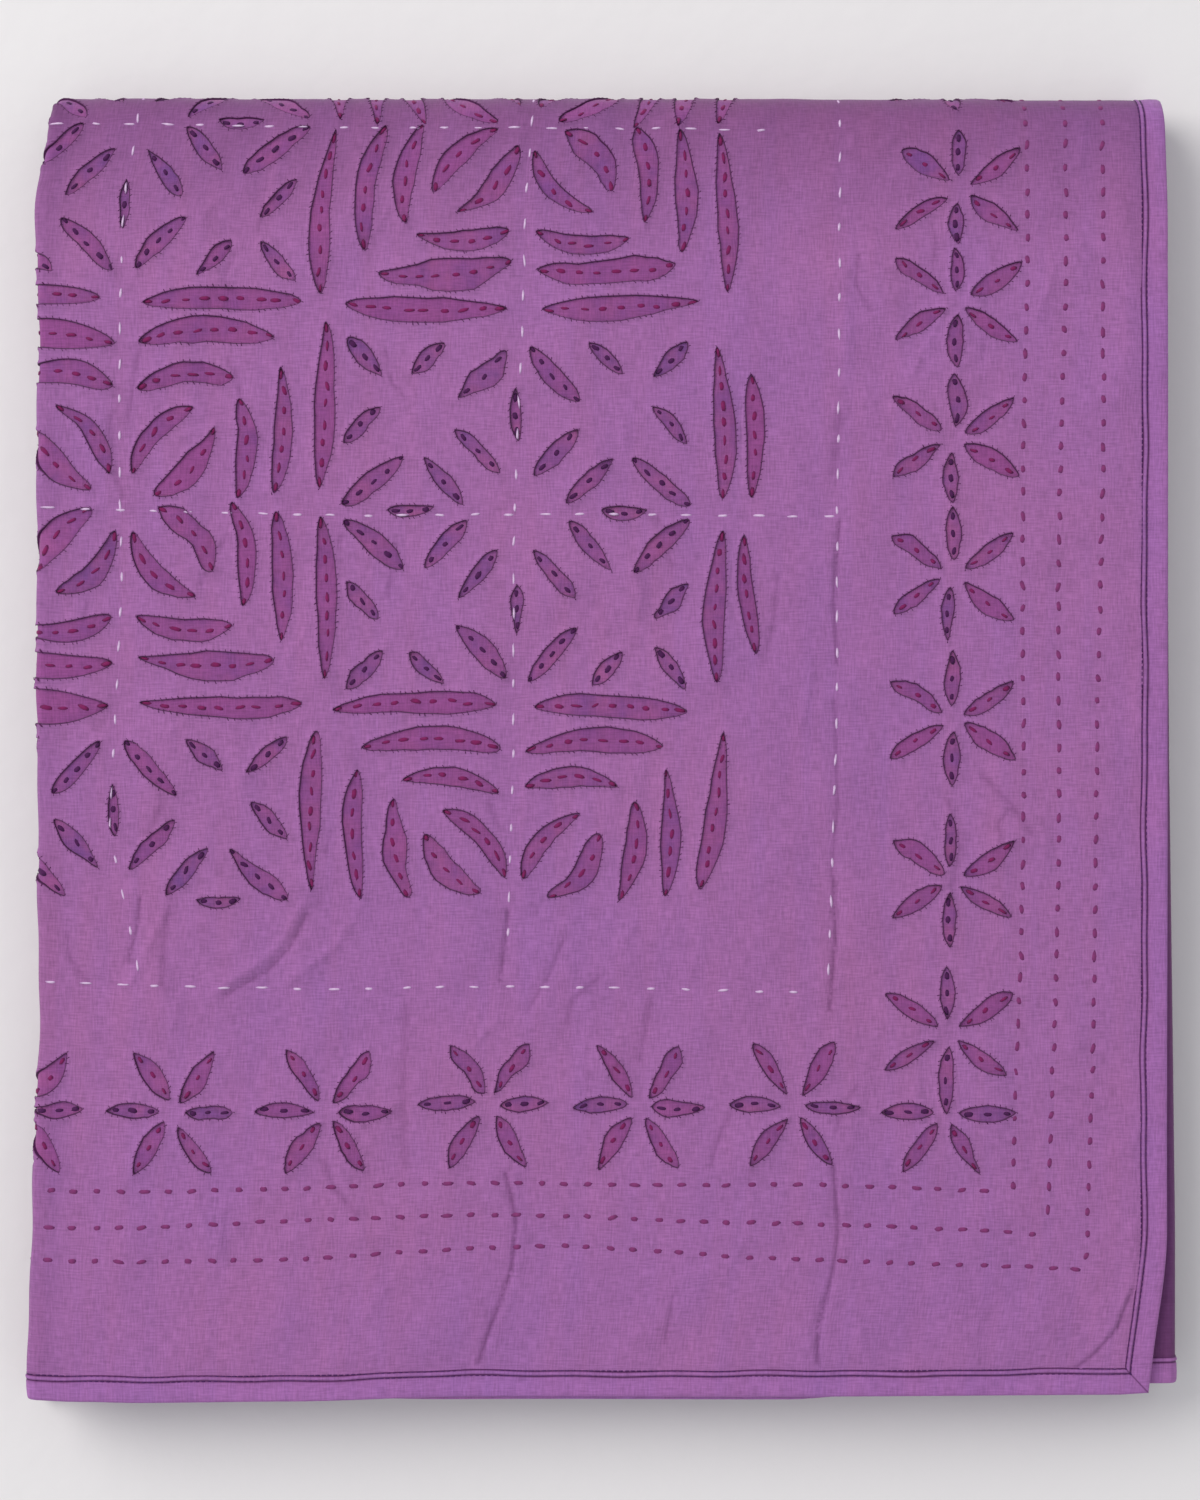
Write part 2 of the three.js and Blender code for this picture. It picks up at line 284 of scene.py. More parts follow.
def add_leaf(x, y, length, width, lean, bow, thread):
    """Lean is measured on the chart, from its right towards its top."""
    wobble = chance.normal(0, 1, 4)
    s, w = from_chart(x + 1.2 * wobble[0], y + 1.2 * wobble[1])
    if not (-5 < s < 575 and 25 < w < ALONG[3]):
        return
    lean = np.radians(lean + 2.5 * wobble[2])
    leaves.append({
        "middle": np.array([s, w]), "along": np.array([-np.cos(lean), np.sin(lean)]),
        "length": length * CHART * (1 + 0.03 * wobble[3]),
        "width": width * CHART * (1 + 0.1 * np.clip(wobble[0], -1.8, 1.8)),
        "bow": (bow + np.clip(wobble[1], -1.8, 1.8)) * CHART, "thread": thread,
        "stain": (0.5 if thread == "crimson" else 0.1) + 0.2 * wobble[3],
    })


for column, row, x, y, wide, high, down in BLOCKS:
    bars = (column + row) % 2 == 0
    for dx, dy, length, width, lean, bow in BARS_BLOCK if bars else PETALS_BLOCK:
        for across in (1, -1) if dx else (1,):
            for up in (1, -1) if dy > 5 else (1,):
                mirror = across * up
                if up * dy < -down:
                    continue
                add_leaf(x + across * dx * wide, y - up * dy * high, length, width,
                         lean * mirror, bow * up, "crimson" if bars else "plum")
for row in (1, 3, 5):
    middle = next(block[3] for block in BLOCKS if block[:2] == (0, row))
    for up in (1, -1):
        add_leaf(719, middle - 92 * up, 158, 22, 90, 5 * up, "crimson")
        add_leaf(750, middle - 78 * up, 118, 19, 90, 5 * up, "crimson")


def add_flower(x, y, run, before, after, slanting):
    """run turns the flower so that its first petals lie along the border."""
    petals = [(lean, length, width, "crimson") for lean, length, width in slanting]
    petals += [(180, before, ALONG_WIDTH, "plum"), (0, after, ALONG_WIDTH, "plum")]
    for lean, length, width, thread in petals:
        turn = np.radians(lean + run)
        far = FLOWER_HEART + length / 2
        add_leaf(x + far * np.cos(turn), y - far * np.sin(turn), length, width, lean + run, 1.5,
                 thread)


for y, x, before, after in RIGHT_FLOWERS:
    add_flower(x, y, -90, before, after, SLANTING)
for x, y, before, after in FRONT_FLOWERS:
    add_flower(x, y, 0, before, after, SLANTING)
add_flower(*CORNER_FLOWER[:2], 0, *CORNER_FLOWER[2:], SLANTING[2:])
print(len(leaves), "leaves on the outer ply")

# %% The rows of stitches
# Columns: the row's path on the chart. The rows run on round the back and the left fold.
FAR_BACK = FRONT_STEP - (ALONG[2] - 12) / CHART
FAR_LEFT = RIGHT_STEP - (ACROSS[1] + 14) / CHART
RUNNING_ROWS = [
    [(1026, FAR_BACK), (1026, 100), (1023, 420), (1022, 700), (1020, 980), (1013, 1194)],
    [(1066, FAR_BACK), (1066, 100), (1060, 420), (1057, 800), (1055, 1040), (1048, 1236)],
    [(1104, FAR_BACK), (1104, 100), (1101, 420), (1097, 760), (1092, 1010), (1088, 1272)],
    [(FAR_LEFT, 1193), (35, 1194), (300, 1192), (520, 1187), (800, 1188), (1008, 1194)],
    [(FAR_LEFT, 1233), (35, 1232), (300, 1224), (560, 1219), (860, 1229), (1044, 1236)],
    [(FAR_LEFT, 1268), (35, 1267), (300, 1260), (560, 1252), (860, 1263), (1083, 1273)],
]
BASTING_ROWS = [
    [(836, FAR_BACK), (836, 100), (838, 420), (834, 720), (828, 994)],
    [(520, FAR_BACK), (524, 100), (520, 340), (512, 560), (510, 760), (506, 950)],
    [(122, FAR_BACK), (123, 100), (118, 420), (118, 600), (108, 830), (138, 980)],
    [(FAR_LEFT, 987), (40, 987), (300, 990), (560, 991), (828, 993)],
    [(FAR_LEFT, 512), (40, 512), (300, 515), (520, 516), (836, 514)],
    [(FAR_LEFT, 127), (40, 126), (300, 127), (520, 126), (765, 128)],
]
QUILTED_ROWS = RUNNING_ROWS + BASTING_ROWS
print(len(RUNNING_ROWS), "running rows and", len(BASTING_ROWS), "basting rows")

# %% [markdown]
# ## The leaf openings
# A leaf is a circle drawn out to two points. Its cut edge is turned under with the needle,
# so the outline has little corners, and the turned cloth stands up as a rim round the hole.

# %% Draw the leaf outlines
SHORT_LEAF = 32  # millimetres: shorter leaves are more pointed and take three stitches
TOP_ENDS = ALONG[0] + 60  # how far along the cloth it still shows its face, round the back turn


def ring_turns(steps):
    """The directions of a circle's vertices, as Blender draws it."""
    bpy.ops.mesh.primitive_circle_add(vertices=steps, radius=1)
    circle = bpy.context.object
    around = np.array([vertex.co[:2] for vertex in circle.data.vertices])
    bpy.data.objects.remove(circle)
    return np.arctan2(around[:, 1], around[:, 0])


RING, RING_ON_FOLD = ring_turns(30), ring_turns(100)


def outline(leaf, out=0.0):
    """The leaf's outline on the flat cloth, out millimetres outside its cut edge."""
    turns = leaf["turns"]
    u = np.cos(turns)
    tip = 1.45 if leaf["length"] < SHORT_LEAF else 1.2
    profile = np.sign(np.sin(turns)) * np.abs(np.sin(turns)) ** tip * (1 + leaf["skew"] * u)
    v = profile * leaf["width"] / 2 * (1 + leaf["wobble"]) + np.sin(turns) * out
    v = v + leaf["bow"] * (1 - u * u)
    half = leaf["length"] / 2 + out * 0.9
    return leaf["middle"] + np.outer(u * half, leaf["along"]) + np.outer(v, left_of(leaf["along"]))


for leaf in leaves:
    reach_s = abs(leaf["along"][0]) * leaf["length"] / 2 + 8
    on_fold = abs(leaf["middle"][0] - (ACROSS[0] + ACROSS[1]) / 2) < reach_s
    leaf["turns"] = RING_ON_FOLD if on_fold else RING
    swing = chance.normal(0, 1, 4)
    leaf["skew"] = 0.2 * swing[3]
    swells = sum(swing[k] * np.sin((k + 2) * leaf["turns"] + 2 * swing[k - 1]) for k in range(3))
    ragged = 0 if on_fold else 0.045
    leaf["wobble"] = 0.08 * swells + ragged * chance.normal(0, 1, len(leaf["turns"]))
    leaf["on_top"] = leaf["middle"][1] < TOP_ENDS
print("longest leaf", round(max(leaf["length"] for leaf in leaves)), "mm")

# %% [markdown]
# ## The lie of the top ply
# Washed and hand-sewn cotton never lies flat. Three things lift it: soft swells, creases
# from how it was stored, and puckers that run out from the tips of the leaves, where sewing
# drew the cloth in. They are added as a lift along the cloth's own normal, so that every
# piece on the cloth rides on the same swell.

# %% Creases and puckers
SEEDED_CREASES = 75
SWELLS = ((150, 0.35), (80, 0.38), (45, 0.40), (26, 0.28), (15, 0.13))  # length and height, mm
DEEPEST = -0.75  # mm: swells and valleys sink no lower
# Columns: the crease's path on the chart, its lift in mm and half its width in mm.
CREASES_ON_TOP = [
    ([(506, 1178), (517, 1225), (514, 1275), (498, 1330), (488, 1368)], -0.9, 1.4),
    ([(513, 1178), (524, 1255), (517, 1300), (500, 1350)], 0.7, 2.6),
    ([(832, 1165), (838, 1225), (835, 1270), (826, 1330), (829, 1368)], -0.8, 1.3),
    ([(842, 1180), (846, 1240), (836, 1330)], 0.55, 2.6),
    ([(300, 908), (282, 940), (262, 962), (215, 992)], 1.0, 2.2),
    ([(305, 916), (288, 948), (266, 972), (222, 998)], -0.6, 1.2),
    ([(358, 910), (335, 946), (286, 985)], 0.85, 2.2),
    ([(168, 905), (150, 940), (128, 985)], 0.8, 2.0),
    ([(138, 900), (134, 930), (126, 960)], -0.7, 1.1),
    ([(570, 962), (545, 1000), (518, 1045)], 0.5, 3.2),
    ([(506, 915), (498, 985)], -0.7, 1.1),
    ([(498, 985), (494, 1030)], 0.4, 3.0),
    ([(836, 240), (846, 330), (838, 405)], 0.6, 3.4),
    ([(838, 410), (832, 470)], -0.4, 2.2),
    ([(742, 165), (748, 255), (740, 320)], 0.4, 3.0),
    ([(838, 520), (832, 600), (835, 665)], -0.7, 1.1),
    ([(833, 700), (836, 800), (830, 880)], -0.5, 1.3),
    ([(832, 880), (834, 940), (828, 1010)], -0.8, 1.3),
    ([(828, 1010), (800, 1052)], 0.4, 3.2),
    ([(1062, 330), (1066, 420), (1060, 520)], 0.4, 4.0),
    ([(1132, 1225), (1134, 1290), (1120, 1335), (1095, 1366)], 0.75, 2.2),
    ([(1146, 1120), (1122, 1150), (1096, 1168)], 0.4, 2.2),
    ([(1120, 140), (1128, 260), (1122, 380)], 0.5, 4.0),
    ([(1142, 470), (1138, 600), (1144, 720)], 0.4, 3.0),
    ([(240, 1230), (236, 1300), (246, 1368)], 0.35, 4.0),
    ([(700, 1275), (706, 1368)], 0.35, 3.0),
    ([(988, 1300), (986, 1352)], 0.4, 1.8),
    ([(345, 1180), (352, 1120), (338, 1060)], 0.35, 3.6),
    ([(404, 1010), (402, 1090), (405, 1170)], -0.3, 2.2),
    ([(60, 1000), (110, 1060), (130, 1120)], 0.4, 4.0),
    ([(880, 1020), (866, 1060), (852, 1130)], 0.4, 2.4),
    ([(868, 975), (892, 960), (905, 945)], 0.35, 2.0),
    ([(620, 1040), (600, 1095)], 0.4, 3.0),
    ([(196, 700), (210, 730), (214, 762)], 0.35, 2.6),
    ([(262, 170), (258, 230)], -0.4, 1.8),
    ([(272, 160), (268, 220)], 0.35, 2.0),
    ([(150, 380), (168, 412)], 0.5, 1.8),
    ([(190, 400), (208, 426), (176, 440)], 0.4, 1.6),
    ([(640, 905), (620, 948)], 0.4, 2.6),
    ([(702, 920), (688, 985)], 0.35, 3.0),
    ([(1136, 1292), (1127, 1330), (1108, 1356), (1090, 1371)], -0.7, 1.1),
    ([(384, 352), (390, 384), (404, 398)], -0.4, 1.2),
    ([(338, 530), (336, 562)], -0.5, 1.2),
    ([(86, 585), (84, 618)], -0.4, 1.2),
    ([(256, 150), (253, 215)], -0.4, 1.2),
    ([(678, 1300), (674, 1350)], -0.4, 1.2),
]
for _ in range(SEEDED_CREASES):
    x, y = chance.uniform(60, 1120), chance.uniform(130, 1350)
    slant, far = chance.normal(0, 0.4), chance.uniform(15, 45)
    bend = chance.normal(0, 5)
    path = [(x - far * np.sin(slant), y - far * np.cos(slant)), (x + bend, y),
            (x + far * np.sin(slant), y + far * np.cos(slant))]
    CREASES_ON_TOP.append((path, chance.choice([-0.4, 0.35, 0.45]), chance.uniform(1.1, 2.0)))


def straights(path):
    """The two ends of each straight piece of a charted path, in millimetres."""
    corners = corners_of(path)
    return zip(corners[:-1], corners[1:])


def beside_straight(points, a, b):
    """How far each point is from the straight a to b, and its share of the way along it."""
    share = np.clip(((points - a) @ (b - a)) / ((b - a) @ (b - a)), 0, 1)
    return np.linalg.norm(points - a - share[:, None] * (b - a), axis=1), share


def along_paths(points, paths):
    """How far each point is from each straight piece of each path."""
    for path, lift, half in paths:
        for a, b in straights(path):
            yield beside_straight(points, a, b)[0], lift, half


def points_beside(paths, pitch, offsets):
    """Places along each path and beside it, so that the cloth has points enough to bend there."""
    beside = []
    for path, _, half in paths:
        for a, b in straights(path):
            far = np.linalg.norm(b - a)
            way = (b - a) / far
            for t in np.arange(0, far, pitch):
                beside += [a + way * t + left_of(way) * half * out for out in offsets]
    return np.array(beside)


def lift_of(s, w, under=False):
    """How far the outer ply's face stands out, in mm: nothing where the bundle presses it.

    What lies under the face bends less sharply: it skips the ridges, and sinks in a broad
    trough under each valley.
    """
    points = np.stack([s, w], axis=1)
    swell = np.zeros(len(s))
    draw = np.random.default_rng(3)
    for size, height in SWELLS:
        for _ in range(6):
            turn, phase = draw.uniform(0, np.pi), draw.uniform(0, 2 * np.pi)
            slope = np.array([np.cos(turn) * 1.25, np.sin(turn) * 0.8]) * 2 * np.pi / size
            swell += height / 2.4 * np.sin(points @ slope + phase)
    ridges, valleys = np.zeros(len(s)), np.zeros(len(s))
    for distance, lift, half in along_paths(points, CREASES_ON_TOP + ROW_VALLEYS):
        distance = np.maximum(distance - TROUGH_HALF, 0) if under else distance
        crease = lift * np.exp(-((distance / half) ** 2))
        ridges, valleys = np.maximum(ridges, crease), np.minimum(valleys, crease)
    swell = swell + valleys + (0 if under else ridges) + pucker_of(points, under)
    swell = np.where(swell < 0, DEEPEST * np.tanh(swell / DEEPEST), swell)
    open_side = ease(s / 12 + 0.3) * ease(w / 12 + 0.3)
    fold_side = ease((ACROSS[1] - s) / 30)
    turn_side = ease((ALONG[0] + 48 - w) / 45)
    from_fold = (s - (ACROSS[0] + ACROSS[1]) / 2) / 7
    uneven = np.sin(w / 17 + 0.5) + np.sin(w / 7.3) * 0.6 + np.sin(w / 43) * 0.8
    uneven = np.exp(-(from_fold**2)) * 0.5 * uneven * ease((ALONG[0] + 20 - w) / 40)
    uneven = uneven * (s < ACROSS[1] + 12)
    lift = swell * open_side * fold_side * turn_side + uneven
    if under:
        lift = lift - 0.25 * np.exp(-(from_fold**2)) - 0.15 * ease((w - ALONG[0] - 30) / 20)
    return lift


ROW_VALLEYS = [(row, -0.28, 2.6) for row in QUILTED_ROWS]
TROUGH_HALF = 4.5
PUCKER_LIFT, PUCKER_HALF = 0.6, 1.8
puckers = []
for leaf in leaves:
    if not leaf["on_top"]:
        continue
    for end in (1, -1):
        tip = leaf["middle"] + leaf["along"] * end * leaf["length"] * 0.46
        lean = chance.normal(0, 0.35)
        way = turned(leaf["along"] * end, lean)
        puckers.append((tip, tip + way * chance.uniform(6, 18), chance.uniform(-0.8, 1.0)))


def pucker_of(points, under):
    total = np.zeros(len(points))
    for a, b, share in puckers:
        if under and share > 0:
            continue
        near = np.abs(points - (a + b) / 2).max(axis=1) < 20
        if near.any():
            far, t = beside_straight(points[near], a, b)
            far = np.maximum(far - TROUGH_HALF, 0) if under else far
            total[near] += PUCKER_LIFT * share * (1 - t * 0.8) * np.exp(-((far / PUCKER_HALF) ** 2))
    return total


print(len(CREASES_ON_TOP), "creases and", len(puckers), "puckers")

# %% [markdown]
# ## The face cloth
# It is made flat with mesh code, because hundreds of openings are cut in one sheet: a grid of
# points and the rings round every leaf are joined into triangles by a Delaunay triangulation,
# which keeps the rings as edges, and the triangles inside the leaves are dropped.

# %% Where the cloth needs points
def steps_between(stops, sizes):
    """Stations from stop to stop, each stretch cut into steps no longer than its size."""
    out = []
    for a, b, size in zip(stops[:-1], stops[1:], sizes):
        out += list(np.linspace(a, b, max(1, int(np.ceil((b - a) / size))), endpoint=False))
    return np.array(out + [stops[-1]])


HEM = 1.4  # the face cloth ends this far inside the binding's outer edge
fold_step, hidden_step = np.pi * PITCH / 2 / 8, 75
s_stops = np.concatenate([[HEM], ACROSS[:-1], [WIDTH - HEM]])
s_sizes = [hidden_step, fold_step] * 3 + [hidden_step]
w_stops = np.concatenate([[HEM], ALONG[:-1], [LENGTH - HEM]])
w_sizes = [hidden_step, 5.0, hidden_step, OFFSET * np.pi / 8, hidden_step, 9.0, hidden_step]
coarse_s, coarse_w = steps_between(s_stops, s_sizes), steps_between(w_stops, w_sizes)
TOP_STEP, UNDER_STEP = 3.4, 12.0
print(len(coarse_s), "by", len(coarse_w), "coarse stations")

# %% Join the points and the leaf rings into triangles
FACE, GROUND = 1.0, 0.55  # how far out of the ply's middle the face and the ground cloth lie
RINGS_ON_TOP, RINGS_BELOW = (0.0, 0.55, 1.3, 2.6), (0.0, 1.3)
WALL_IN, WALL_BELOW = 0.42, 0.4  # how far the turned edge slopes in, and below the ground's top


def place_in_leaf(points, leaf, out):
    """Shares of the half length along the leaf, and millimetres from its bowed middle line."""
    p = points - leaf["middle"]
    u = p @ leaf["along"] / (leaf["length"] / 2 + out)
    return u, p @ left_of(leaf["along"]) - leaf["bow"] * (1 - u * u)


def inside_leaf(points, leaf, out):
    u, v = place_in_leaf(points, leaf, out)
    half = leaf["width"] / 2 * np.clip(1 - u * u, 0, 1) ** 0.6 + out
    return (np.abs(u) < 1) & (np.abs(v) < half)


def grid(s_values, w_values):
    return np.stack(np.meshgrid(s_values, w_values), -1).reshape(-1, 2)


fine = grid(
    np.arange(HEM + 6, ACROSS[0] + 1, TOP_STEP),
    np.arange(HEM + 6, ALONG[0] + 50, TOP_STEP))
rounding = grid(
    np.arange(ACROSS[0] + 1.4, ACROSS[1] + 12, 1.6),
    np.arange(HEM + 6, ALONG[0] + 20, 3.2))
rounding_below = grid(
    np.arange(ACROSS[0] - 1, ACROSS[1] + 4, 1.4),
    np.arange(ALONG[1] - 20, ALONG[2] - 4, 6.0))
beside = points_beside(CREASES_ON_TOP, 3.2, (-1.4, -0.7, 0, 0.7, 1.4))
below = grid(
    np.arange(HEM + 8, ACROSS[0] - 3, UNDER_STEP),
    np.arange(ALONG[1] + 6, ALONG[2] - 4, UNDER_STEP))
turn_below = grid(
    np.arange(HEM + 6, ACROSS[0], 6.0),
    np.arange(ALONG[0] + 54, ALONG[1] + 2, 4.5))
in_hairpin = coarse_w[(coarse_w > ALONG[2] - 1) & (coarse_w < ALONG[3] + 1)]
hairpin = grid(np.arange(HEM + 8, ACROSS[0] - 1, 6.0), in_hairpin)
loose = np.concatenate([fine, beside, below, turn_below, hairpin])
keep = np.ones(len(loose), bool)
fixed = grid(coarse_s, coarse_w)
keep_fixed = np.ones(len(fixed), bool)
for leaf in leaves:
    out = 3.6 if leaf["on_top"] else 3.0
    near = np.abs(loose - leaf["middle"]).max(axis=1) < leaf["length"] / 2 + 6
    keep[np.where(near)[0][inside_leaf(loose[near], leaf, out)]] = False
    near = np.abs(fixed - leaf["middle"]).max(axis=1) < leaf["length"] / 2 + 6
    keep_fixed[np.where(near)[0][inside_leaf(fixed[near], leaf, 1.0)]] = False
at_fold = np.concatenate([rounding, rounding_below])
rim_points = []
for leaf in leaves:
    line = outline(leaf)
    for a, b in zip(line, np.roll(line, -1, axis=0)):
        rim_points += [a, a * 0.67 + b * 0.33, a * 0.33 + b * 0.67]
rims = KDTree(len(rim_points))
for i, (s, w) in enumerate(rim_points):
    rims.insert((s, w, 0), i)
rims.balance()
clear = [rims.find((s, w, 0))[2] > (3.0 if w < TOP_ENDS else 1.7) for s, w in at_fold]
at_fold = at_fold[clear]
for leaf in leaves:
    at_fold = at_fold[~inside_leaf(at_fold, leaf, 0.5)]
points, edges = [fixed[keep_fixed], loose[keep], at_fold], []
count = sum(map(len, points))
for leaf in leaves:
    rings = RINGS_ON_TOP if leaf["on_top"] else RINGS_BELOW
    for ring, out in enumerate(rings):
        line = outline(leaf, out)
        if ring == 0:
            leaf["first"] = count
        points.append(line)
        edges += [(count + i, count + (i + 1) % len(line)) for i in range(len(line))]
        count += len(line)
points = np.concatenate(points)
made = delaunay_2d_cdt([Vector(p) for p in points], edges, [], 0, 1e-4, True)
flat_points = np.array([tuple(p) for p in made[0]])
triangles = np.array(made[2])
where = {}
for index, sources in enumerate(made[3]):
    for source in sources:
        where[source] = index
print(len(flat_points), "points,", len(triangles), "triangles before the leaves are cut out")

# %% The section of the binding
GROOVES = (9.9, 12.2)  # where the two rows of machine stitches sink in, from the outer edge
# Columns: distance in from the outer edge, height out of the ply's middle, and painted shade,
# darkest in the two grooves.
SECTION = [
    (0.0, 0.0, 0.1), (0.05, 0.45, 0.05), (0.45, 0.95, 0), (1.6, 1.25, 0),
    (5.2, 1.38, 0), (9.0, 1.22, 0.1), (GROOVES[0], 0.92, 1), (10.4, 1.32, 0.25),
    (11.0, 1.5, 0), (11.7, 1.34, 0.25), (GROOVES[1], 0.92, 1), (12.6, 0.9, 0.6),
]
UNDER_BINDING = 0.4  # how far the face cloth is pressed down under the binding

# %% Drop the leaves, and raise the rims
middles = flat_points[triangles].mean(axis=1)
cut = np.zeros(len(triangles), bool)
for leaf in leaves:
    near = np.where(np.abs(middles - leaf["middle"]).max(axis=1) < leaf["length"] / 2 + 2)[0]
    line = outline(leaf)
    a, b = line, np.roll(line, -1, axis=0)
    p = middles[near][:, None]
    crosses = (a[:, 1] > p[..., 1]) != (b[:, 1] > p[..., 1])
    with np.errstate(divide="ignore", invalid="ignore"):
        at = a[:, 0] + (p[..., 1] - a[:, 1]) / (b[:, 1] - a[:, 1]) * (b[:, 0] - a[:, 0])
    cut[near[(crosses & (p[..., 0] < at)).sum(axis=1) % 2 == 1]] = True
triangles = triangles[~cut]

from_rim = np.array([rims.find((s, w, 0))[2] for s, w in flat_points])
RIM_LIFT, RIM_AT, RIM_HALF = 0.42, 0.5, 1.1
rim = RIM_LIFT * np.exp(-(((from_rim - RIM_AT) / RIM_HALF) ** 2))
# painted shade: the face is darkened along each leaf's cut edge, where the turned-under hem lies in
# shade
edge_shade = np.exp(-((from_rim / 0.35) ** 2))
# painted shade: darker towards the back turn and the left fold, where the cloth curves away, and in
# the valley of each crease
painted_fold_and_crease_shade = 0.32 * ease((flat_points[:, 1] - ALONG[0] + 70) / 90)
painted_fold_and_crease_shade += 0.20 * ease((flat_points[:, 1] - ALONG[0] + 5) / 25)
painted_fold_and_crease_shade += 0.18 * ease((flat_points[:, 0] - ACROSS[0] + 14) / 16)
for distance, lift, half in along_paths(flat_points, CREASES_ON_TOP):
    if lift < 0:
        painted_fold_and_crease_shade = np.maximum(painted_fold_and_crease_shade, -0.55 * lift * np.exp(-((distance / half / 0.8) ** 2)))
edge_shade = np.maximum(edge_shade, painted_fold_and_crease_shade)
from_edge = np.minimum(flat_points, (WIDTH, LENGTH) - flat_points).min(axis=1)
pressed = UNDER_BINDING * (from_edge < SECTION[-1][0] - 1)
cloth = [np.column_stack([flat_points, FACE + rim - pressed])]
shade = [edge_shade]
faces = [tuple(t) for t in triangles]
base = len(flat_points)
for leaf in leaves:
    line = outline(leaf)
    lower = outline(leaf, -WALL_IN)
    first = base
    cloth.append(np.column_stack([lower, np.full(len(lower), GROUND - WALL_BELOW)]))
    # painted shade: the wall that slopes down into each leaf gets the full shade colour
    shade.append(np.ones(len(lower)))
    base += len(lower)
    ring = [where[leaf["first"] + i] for i in range(len(line))]
    for i in range(len(line)):
        j = (i + 1) % len(line)
        faces.append((ring[i], first + i, first + j, ring[j]))
cloth, shade = np.concatenate(cloth), np.concatenate(shade)
print(len(faces), "faces in the face cloth")

# %% [markdown]
# ## Fold a flat piece
# Every piece keeps its flat place as its UV map, in metres, so that weave and colour follow
# the cloth round the folds. The flat piece has x to the left of the right edge as a minus, so
# that the face looks up.

# %% One function folds every piece
def fold(piece, under=False):
    mesh = piece.data
    flat = np.empty(len(mesh.vertices) * 3)
    mesh.vertices.foreach_get("co", flat)
    flat = flat.reshape(-1, 3)
    s, w, n = -flat[:, 0] / MM, flat[:, 1] / MM, flat[:, 2] / MM
    n = n + lift_of(s, w, under) * np.clip((n + PLY / 2) / (GROUND + PLY / 2), 0, 1)
    folded = fold_in_mm(s, w, n) * MM
    folded[:, 2] = np.maximum(folded[:, 2], 0)
    while mesh.uv_layers:
        mesh.uv_layers.remove(mesh.uv_layers[0])
    uv = mesh.uv_layers.new(name="flat_cloth")
    corners = np.empty(len(mesh.loops), int)
    mesh.loops.foreach_get("vertex_index", corners)
    uv.data.foreach_set("uv", flat[corners, :2].ravel())
    mesh.vertices.foreach_set("co", folded.ravel())
    mesh.update()
    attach(piece, "root")
    triangles = sum(len(p.vertices) - 2 for p in mesh.polygons)
    print(piece.name, len(mesh.vertices), "vertices,", triangles, "triangles")


def make(name, points_mm, faces, shades):
    """A flat piece from points in millimetres across, along and out of the cloth."""
    mesh = bpy.data.meshes.new(name)
    points_mm = np.asarray(points_mm, float)
    metres = np.column_stack([-points_mm[:, 0], points_mm[:, 1], points_mm[:, 2]]) * MM
    mesh.from_pydata(metres.tolist(), [], faces)
    edge = mesh.attributes.new("edge_shade", "FLOAT", "POINT")
    edge.data.foreach_set("value", np.asarray(shades, float))
    piece = bpy.data.objects.new(name, mesh)
    bpy.context.collection.objects.link(piece)
    return piece


def only(piece):
    bpy.ops.object.select_all(action="DESELECT")
    piece.select_set(True)
    bpy.context.view_layer.objects.active = piece


def smooth(piece, degrees):
    only(piece)
    bpy.ops.object.shade_smooth_by_angle(angle=np.radians(degrees))


def face_one_way(piece):
    only(piece)
    bpy.ops.object.mode_set(mode="EDIT")
    bpy.ops.mesh.select_all(action="SELECT")
    bpy.ops.mesh.normals_make_consistent(inside=False)
    bpy.ops.object.mode_set(mode="OBJECT")


face_cloth = make("face_cloth", cloth, faces, shade)
face_one_way(face_cloth)
up = np.mean([polygon.normal.z for polygon in face_cloth.data.polygons[:2000]])
if up < 0:
    bpy.ops.object.mode_set(mode="EDIT")
    bpy.ops.mesh.flip_normals()
    bpy.ops.object.mode_set(mode="OBJECT")
fold(face_cloth)
smooth(face_cloth, 50)

# %% [markdown]
# ## The ground cloth and backing
# Under the face lie the cloth that shows in the leaves and the backing. They are one slab
# here: a flat grid whose rows are moved to the places where the quilt bends, thickened with
# Solidify and then folded with the rest. Dye has stained the ground cloth under each leaf.

# %% The slab under the face
on_top_s = np.arange(HEM + 6, ACROSS[0] + 2, 4.5)
past_fold_s = np.arange(ACROSS[1] + 2, ACROSS[1] + 18, 3.0)
on_top_w = np.arange(HEM + 6, ALONG[0] + 50, 4.5)
slab_s = np.unique(np.round(np.concatenate([coarse_s, on_top_s, past_fold_s]), 3))
slab_w = np.unique(np.round(np.concatenate([coarse_w, on_top_w]), 3))
thin_out = lambda v: v[np.insert(np.diff(v) > 0.5, 0, True)]
slab_s, slab_w = thin_out(slab_s), thin_out(slab_w)
bpy.ops.object.select_all(action="DESELECT")
bpy.ops.mesh.primitive_grid_add(
    x_subdivisions=len(slab_s) - 1, y_subdivisions=len(slab_w) - 1, size=1)
ground_cloth = bpy.context.object
ground_cloth.name = "ground_cloth"
co = np.array([vertex.co[:] for vertex in ground_cloth.data.vertices])
i = np.round((co[:, 0] + 0.5) * (len(slab_s) - 1)).astype(int)
j = np.round((co[:, 1] + 0.5) * (len(slab_w) - 1)).astype(int)
co = np.column_stack([-slab_s[::-1][i], slab_w[j], np.full(len(co), GROUND)]) * MM
ground_cloth.data.vertices.foreach_set("co", co.ravel())
stain = np.zeros(len(co))
slab_points = np.column_stack([-co[:, 0], co[:, 1]]) / MM
